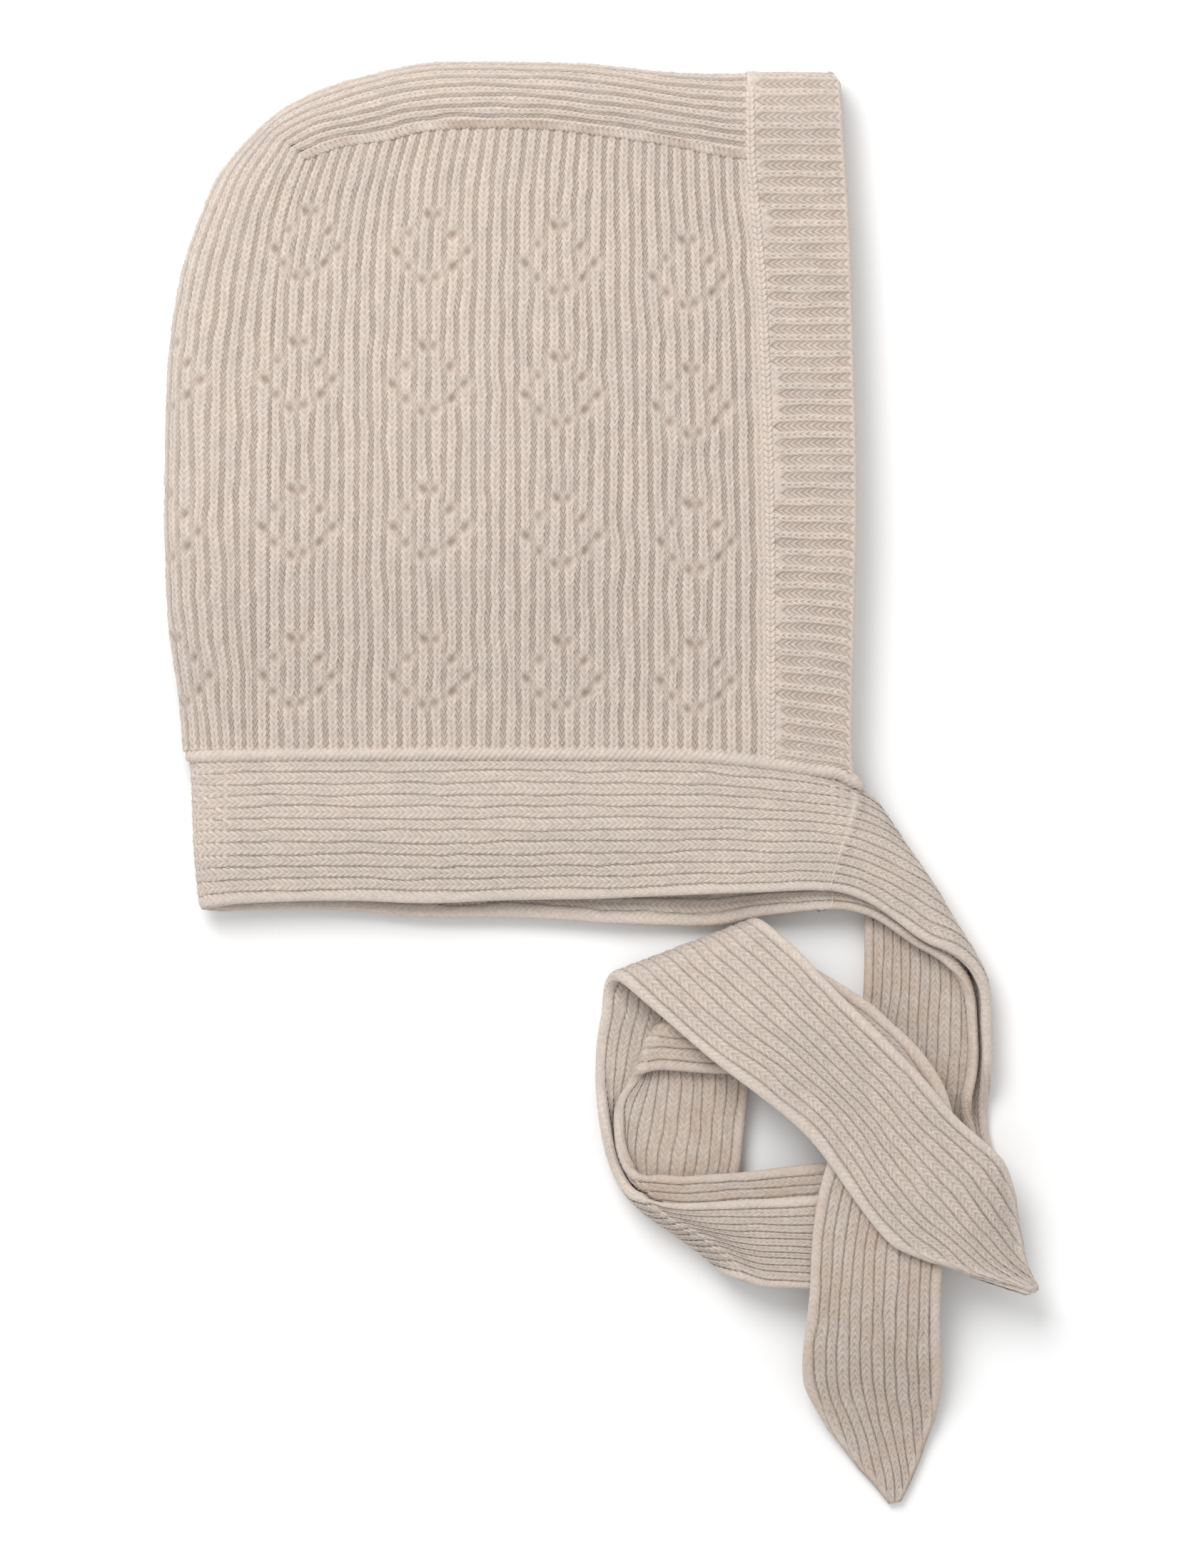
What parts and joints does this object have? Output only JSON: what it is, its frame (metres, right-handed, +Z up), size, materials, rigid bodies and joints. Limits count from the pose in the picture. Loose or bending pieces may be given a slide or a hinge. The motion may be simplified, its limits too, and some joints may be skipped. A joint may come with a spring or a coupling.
{
  "type": "knitted baby bonnet",
  "caption": "Ribbed knit baby bonnet with eyelet motifs, lying on its side; the face and neck stay open and two flat pointed ties are coiled beside the front corner.",
  "frame": {"origin": "under the middle of the whole thing, bonnet and ties, at the height of what it lies on", "axes": "+X from the nape towards the face opening, +Y from the neck towards the crown, +Z up from the far side panel to the near one"},
  "size_m": [0.1936, 0.3238, 0.0218],
  "materials": {
    "shell_knit": "soft matt wool, ribbed, slightly heathered",
    "band_knit": "soft matt wool, close rib",
    "edge_knit": "soft matt wool, chained stitches"
  },
  "bodies": {
    "root": {"knitted_shell": "shell_knit", "front_band": "band_knit", "neck_band": "band_knit", "neck_roll": "edge_knit", "crown_seam_near": "edge_knit", "crown_seam_far": "edge_knit", "tie_near": "band_knit", "tie_far": "band_knit"}
  },
  "joints": []
}
